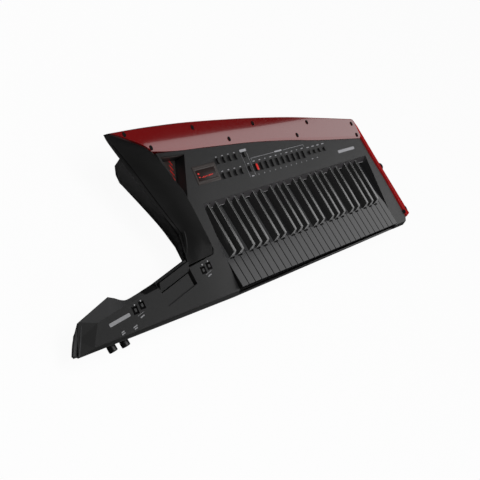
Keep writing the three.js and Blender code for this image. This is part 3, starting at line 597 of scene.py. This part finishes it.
# Panel printing: pale bars and hairlines beside the buttons, screen printed on the plastic in one
# pass. The hairlines mark off groups of buttons. The ink is worn a little.
screen_ink, shade = material("pale_ink")
wear = mottle(shade, 700.0, detail=4.0)
paint(shade, Base_Color=wear.blend((0.34, 0.34, 0.36), (0.52, 0.52, 0.55)), Roughness=0.5)
ink_rise = 0.00008
button_pitch = 0.02215
first_oval, first_bar, first_wide = 0.1022, 0.2235, 0.4501
ink = []
for index in range(4):
    x = first_oval + button_pitch * index
    ink += [(x, 0.2095, 0.0050, 0.0015), (x + 0.001, 0.1845, 0.0060, 0.0013)]
    x = first_wide + button_pitch * index
    ink += [(x, 0.1865, 0.0105, 0.0015)]
    if index < 2:
        ink += [(x, 0.1645, 0.0060, 0.0013)]
ink += [(0.2020, 0.2095, 0.0240, 0.0046), (0.2010, 0.1860, 0.0050, 0.0014),
        (0.2010, 0.1640, 0.0090, 0.0016)]
for index in range(10):
    x = first_bar + button_pitch * index
    ink += [(x + 0.001, 0.1875, 0.0085 - 0.0022 * (index % 3), 0.0014), (x, 0.1640, 0.0022, 0.0020)]
hairlines = [(0.2640, 0.1935, 0.0920, 0.0005), (0.3920, 0.1935, 0.0880, 0.0005),
             (0.2182, 0.1915, 0.0005, 0.0040), (0.4358, 0.1915, 0.0005, 0.0040),
             (0.1905, 0.1840, 0.0004, 0.0420), (0.2120, 0.1840, 0.0004, 0.0420)]
ink += hairlines + [(0.3280, 0.1940, 0.0300, 0.0024), (0.6083, 0.1638, 0.0780, 0.0055)]
marks = [bar_on_panel(*bar, thick=film, rise=ink_rise) for bar in ink]
place_piece(join_pieces(marks), "panel_ink", "body", screen_ink)

# Neck printing: smaller bars beside the neck's buttons and knobs and one broad bar at its end, all
# turned with the neck's edge and screen printed in a dimmer grey ink.
dim_ink, shade = material("dim_ink")
wear = mottle(shade, 700.0, detail=4.0)
paint(shade, Base_Color=wear.blend((0.22, 0.22, 0.23), (0.34, 0.34, 0.35)), Roughness=0.5)
neck_turn = math.radians(8.8)
neck_ink = [(-0.2990, 0.0162, 0.0125, 0.0017), (-0.3000, 0.0204, 0.0210, 0.0005),
            (-0.0720, 0.0362, 0.0125, 0.0017), (-0.0730, 0.0404, 0.0210, 0.0005),
            (-0.3620, 0.0064, 0.0088, 0.0015), (-0.3620, 0.0037, 0.0105, 0.0015),
            (-0.3270, 0.0069, 0.0122, 0.0015), (-0.3270, 0.0041, 0.0096, 0.0015)]
marks = [bar_on_panel(*bar, film, ink_rise, neck_turn) for bar in neck_ink]
place_piece(join_pieces(marks), "neck_ink", "body", dim_ink)
plate = bar_on_panel(-0.3574, 0.0229, 0.0600, 0.0052, film, ink_rise, neck_turn / 2)
place_piece(plate, "neck_name_bar", "body", dim_ink)

# Edge blade: a lacquered moulding in deep red, with a painted light: a much brighter red where it slopes
# away at the right end. Its clear coat is polished on the flat, and black socket screws hold it to the lower
# case.
blade_paint, shade = material("blade_paint")
flake = mottle(shade, 2600.0, detail=1.0)
ripple = mottle(shade, 5.0, detail=1.0)
# Faces that slope away to the right are painted bright red as light; the flat keeps the deep red.
flat = 1 - facing_along(shade, "X").clear_step(0.02, 0.05)
deep = flake.blend((0.190, 0.0050, 0.0056), (0.220, 0.0062, 0.0070))
painted_light_red = flake.blend((0.68, 0.010, 0.010), (0.74, 0.012, 0.012))
paint(shade, Base_Color=flat.blend(painted_light_red, deep), Roughness=0.045 + ripple * 0.02,
      Coat_Weight=flat * 0.8, Coat_Roughness=0.02)
coat(nodes["edge_blade"], blade_paint)
soften(nodes["edge_blade"], width=0.0008, segments=3)

socket_black, shade = material("socket_black")
worn = mottle(shade, 220.0, detail=4.0)
paint(shade, Base_Color=worn.blend((0.002, 0.002, 0.002), (0.005, 0.005, 0.005)),
      Roughness=0.6 + worn * 0.1, Specular_IOR_Level=0.15)
down = Vector((0, 0, -1))


def seat_on(node, x, y):
    """The point and the facing of a node's upper surface at a point of the panel, seen from above."""
    start = on_panel(x, y) - down * 0.05
    _, seat, normal, _ = node.ray_cast(start, down)
    return seat, normal


bpy.ops.mesh.primitive_cylinder_add(vertices=24, radius=0.0042, depth=0.0014)
screw = bpy.context.object
pick_top(screw)
inset_and_move(rim=0.0006, rise=0.0004)
inset_and_move(rim=0.0008, rise=-0.0009)
bpy.ops.object.mode_set(mode="OBJECT")
round_edges(screw, width=0.0002)
screw_places = ((-0.1483, 0.2742), (0.0627, 0.2640), (0.2735, 0.2496), (0.4854, 0.2307),
                (0.6760, 0.2084), (-0.0881, 0.2461), (0.1678, 0.2327), (0.4241, 0.2121),
                (0.6790, 0.1852), (0.7466, 0.0166), (0.7735, 0.0224))
for index, (x, y) in enumerate(screw_places):
    seat, normal = seat_on(nodes["edge_blade"], x, y)
    place_piece(copy_of(screw), f"blade_screw_{index + 1}", "body", socket_black,
                Matrix.Translation(seat) @ normal.to_track_quat("Z", "Y").to_matrix().to_4x4())
bpy.data.objects.remove(screw)

# Wing cover: a near-black satin moulding clipped over the lower case, duller on its front face. A
# groove runs along its outer edge, and a rib and a crease turn round its foot at the neck; the groove
# and the crease are black tubes that stand for their shade, as painted shade.
wing_plastic, shade = material("wing_plastic")
speckle = mottle(shade, grain_scale)
cloud = mottle(shade, 9.0, detail=3.0)
front = facing_along(shade, "Y").clear_step(-0.22, -0.4)
paint(shade, Base_Color=cloud.blend((0.0038, 0.0038, 0.0038), (0.0052, 0.0052, 0.0052)),
      Roughness=0.3 + (cloud - 0.5) * 0.1 + front * 0.5, Normal=relief(shade, speckle, strength=0.3),
      Specular_IOR_Level=0.36)
coat(nodes["wing_cover"], wing_plastic)
soften(nodes["wing_cover"], width=0.0008, angle=18)

# Near black: painted shade on the groove and crease tubes, and the own black of the neck buttons and trays.
groove_black, shade = material("groove_black")
black_mottle = mottle(shade, 300.0)
paint(shade, Base_Color=black_mottle.blend((0.001, 0.001, 0.001), (0.003, 0.003, 0.003)), Roughness=0.8,
      Specular_IOR_Level=0.1)
groove_places = ((-0.1868, 0.2718), (-0.1644, 0.2386), (-0.1448, 0.2012), (-0.1224, 0.1582),
                 (-0.1000, 0.1180))
groove_line = []
for x, y in groove_places:
    hit, place, _, _ = nodes["wing_cover"].ray_cast(on_panel(x, y, rise=0.06), down)
    groove_line.append(place if hit else on_panel(x, y))
groove = line_through(groove_line, radius=0.0007)
place_piece(groove, "wing_groove", "body", groove_black)
rib_line = ((-0.2500, -0.0180, 0.0668), (-0.2531, -0.0261, 0.0660), (-0.2545, -0.0368, 0.0633),
            (-0.2602, -0.0482, 0.0605), (-0.2700, -0.0585, 0.0585))
rib = line_through(rib_line, radius=0.0015, swells=(0.3, 0.9, 1, 1, 0.8))
place_piece(rib, "wing_rib", "body", rubber)
crease_line = ((-0.2550, -0.0175, 0.0655), (-0.2582, -0.0250, 0.0650), (-0.2600, -0.0350, 0.0623),
               (-0.2655, -0.0465, 0.0601))
crease = line_through(crease_line, radius=0.0010, swells=(0.4, 1, 1, 1))
place_piece(crease, "wing_crease", "body", groove_black)

# Keys: naturals are glossy dark grey mouldings with rounded front lips, their flanks painted near black
# as shade; sharps are satin black and arched, with a painted highlight that makes the nose pale grey and
# the top faintly paler. Each turns on the keybed's round rail.
key_gloss, shade = material("key_gloss")
cloud = mottle(shade, 9.0, detail=3.0)
# The flanks are painted near black as shade between the keys.
shaded_flank = shade.math("ABSOLUTE", facing_along(shade, "X")).clear_step(0.15, 0.5)
polished = cloud.blend((0.012, 0.012, 0.0135), (0.016, 0.016, 0.018))
paint(shade, Base_Color=shaded_flank.blend(polished, (0.0015, 0.0015, 0.0015)),
      Roughness=0.12 + (cloud - 0.5) * 0.06 + shaded_flank * 0.5, Specular_IOR_Level=0.45)
sharp_satin, shade = material("sharp_satin")
cloud = mottle(shade, 30.0, detail=3.0)
# The nose, and faintly the top, are painted pale grey as a highlight.
nose_highlight = facing_along(shade, "Y").clear_step(-0.5, -0.8)
crest_highlight_and_coat = facing_along(shade, "Z").clear_step(0.9, 0.98)
satin = cloud.blend((0.016, 0.016, 0.016), (0.022, 0.022, 0.022))
paint(shade, Base_Color=(nose_highlight + crest_highlight_and_coat * 0.3).blend(satin, (0.20, 0.20, 0.20)),
      Roughness=0.12 + cloud * 0.06, Specular_IOR_Level=0.8, Coat_Weight=crest_highlight_and_coat * 0.9, Coat_Roughness=0.1)
for name, node in nodes.items():
    if name.startswith("key_") and name != "key_bed":
        made, width = (sharp_satin, 0.0012) if "sharp" in name else (key_gloss, 0.0010)
        coat(node, made)
        soften(node, width, segments=3)

# Panel buttons: silicone caps on one flexible web under the panel, their tops coated satin grey and
# their sides painted black as shade.
cap_rubber, shade = material("cap_rubber")
grain = mottle(shade, 1200.0)
panel_front, panel_foot = 0.136, 0.0480
climb = (place_along(shade, "Y") + panel_front) * math.tan(panel_tilt)
above_panel = place_along(shade, "Z") - panel_foot - climb
# Below the top, the cap's sides are painted black as shade.
top = above_panel.clear_step(0.0026, 0.0029)
paint(shade, Base_Color=top.blend((0.003, 0.003, 0.003), (0.022, 0.022, 0.022)),
      Roughness=0.6 - top * 0.15 + grain * 0.05, Normal=relief(shade, grain, strength=0.2))
coat(nodes["panel_buttons"], cap_rubber)
soften(nodes["panel_buttons"], width=0.0004)

# Lit button: a clear red lens moulded into the first bar button's top and lit from below. It rides
# on the caps.
lens = bar_on_panel(first_bar, 0.1764, width=0.0066, depth=0.0114, thick=0.0006, rise=0.0031)
round_edges(lens, width=0.0002)
place_piece(lens, "lit_button_lens", "panel_buttons", lit_red)

# Neck buttons: four square caps with satin pads on top, each in a black rubber tray that lines its
# well. The trays are glued to the neck, and the pads ride on the caps.
coat(nodes["neck_buttons"], groove_black)
soften(nodes["neck_buttons"], width=0.0014, segments=3)
satin_cap = plastic("satin_cap", (0.030, 0.030, 0.030), roughness=0.4, grain=0.2)
bpy.ops.mesh.primitive_plane_add(size=1)
tray = bpy.context.object
tray.scale = (0.0150, 0.0118, 1)
bpy.ops.object.transform_apply(scale=True)
pick(tray, "FACE", lambda face: True)
bpy.ops.mesh.inset(thickness=0.0008)
inset_and_move(rim=0.0002, rise=-0.0018)
bpy.ops.mesh.inset(thickness=0.0010)
bpy.ops.mesh.delete(type="FACE")
bpy.ops.object.mode_set(mode="OBJECT")
thick = tray.modifiers.new("thick", "SOLIDIFY")
thick.thickness = 0.00015
bpy.ops.object.modifier_apply(modifier="thick")
tray_rise = 0.0002
neck_wells = ((-0.3096, 0.0276), (-0.2883, 0.0309), (-0.0845, 0.0466), (-0.0632, 0.0499))
for index, (x, y) in enumerate(neck_wells):
    place_piece(copy_of(tray), f"button_tray_{index + 1}", "body", groove_black,
                panel_frame(x, y, tray_rise))
    seat, _ = seat_on(nodes["neck_buttons"], x, y)
    cap_rise = (seat - on_panel(x, y)).dot(panel_normal)
    pad = bar_on_panel(x, y, width=0.0058, depth=0.0050, thick=0.0006, rise=cap_rise, turn=neck_turn)
    place_piece(pad, f"button_pad_{index + 1}", "neck_buttons", satin_cap)
bpy.data.objects.remove(tray)

# Neck lamps: small moulded lenses of milky plastic, one beside each neck button, pushed through the
# neck's face from inside.
lamp_lens, shade = material("lamp_lens")
milky = mottle(shade, 900.0)
paint(shade, Base_Color=milky.blend((0.30, 0.30, 0.31), (0.45, 0.45, 0.46)), Roughness=0.25,
      Coat_Weight=0.5)
bpy.ops.mesh.primitive_cylinder_add(vertices=20, radius=0.0014, depth=0.0014)
lamp = bpy.context.object
pick_top(lamp)
inset_and_move(rim=0.0005, rise=0.0003)
bpy.ops.object.mode_set(mode="OBJECT")
round_edges(lamp, width=0.0002)
lamp_places = ((-0.3080, 0.0350), (-0.2888, 0.0374), (-0.0826, 0.0550), (-0.0629, 0.0574))
for index, (x, y) in enumerate(lamp_places):
    place_piece(copy_of(lamp), f"neck_lamp_{index + 1}", "body", lamp_lens,
                panel_frame(x, y))
bpy.data.objects.remove(lamp)

# Modulation bar: a sprung plate of grained plastic, blacker and duller than the case, hinged at the
# back of the neck's recess.
bar_plastic = plastic("bar_plastic", (0.004, 0.004, 0.004), roughness=0.5, grain=0.4, specular=0.2)
coat(nodes["modulation_bar"], bar_plastic)
soften(nodes["modulation_bar"], width=0.0005)

# Control knobs: black phenolic knobs with a domed face, pushed on the shafts that stand out of the
# neck's front edge. A knurled skirt is moulded round each, with every third strip cut back.
knob_black = plastic("knob_black", (0.006, 0.006, 0.006), roughness=0.4, grain=0.3)
strips = 72
bpy.ops.mesh.primitive_cylinder_add(vertices=strips, radius=0.0066, depth=0.0072,
                                    end_fill_type="NOTHING")
skirt = bpy.context.object


def third_strip(face):
    middle = face.calc_center_median()
    return round(math.atan2(middle.y, middle.x) / math.tau * strips - 0.5) % 3 == 0


pick(skirt, "FACE", third_strip)
bpy.ops.mesh.extrude_region_shrink_fatten(TRANSFORM_OT_shrink_fatten={"value": -0.0004})
bpy.ops.object.mode_set(mode="OBJECT")
thick = skirt.modifiers.new("thick", "SOLIDIFY")
thick.thickness = 0.0004
thick.offset = -1
bpy.ops.object.modifier_apply(modifier="thick")
skirt_middle = 0.0046
for index in range(2):
    name = f"control_knob_{index + 1}"
    coat(nodes[name], knob_black)
    soften(nodes[name], width=0.0006, segments=3)
    low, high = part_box(name)
    middle = ((low[0] + high[0]) / 2, low[1] + skirt_middle, (low[2] + high[2]) / 2)
    place_piece(copy_of(skirt), f"knob_skirt_{index + 1}", name, knob_black,
                Matrix.Translation(middle) @ along_y)
bpy.data.objects.remove(skirt)
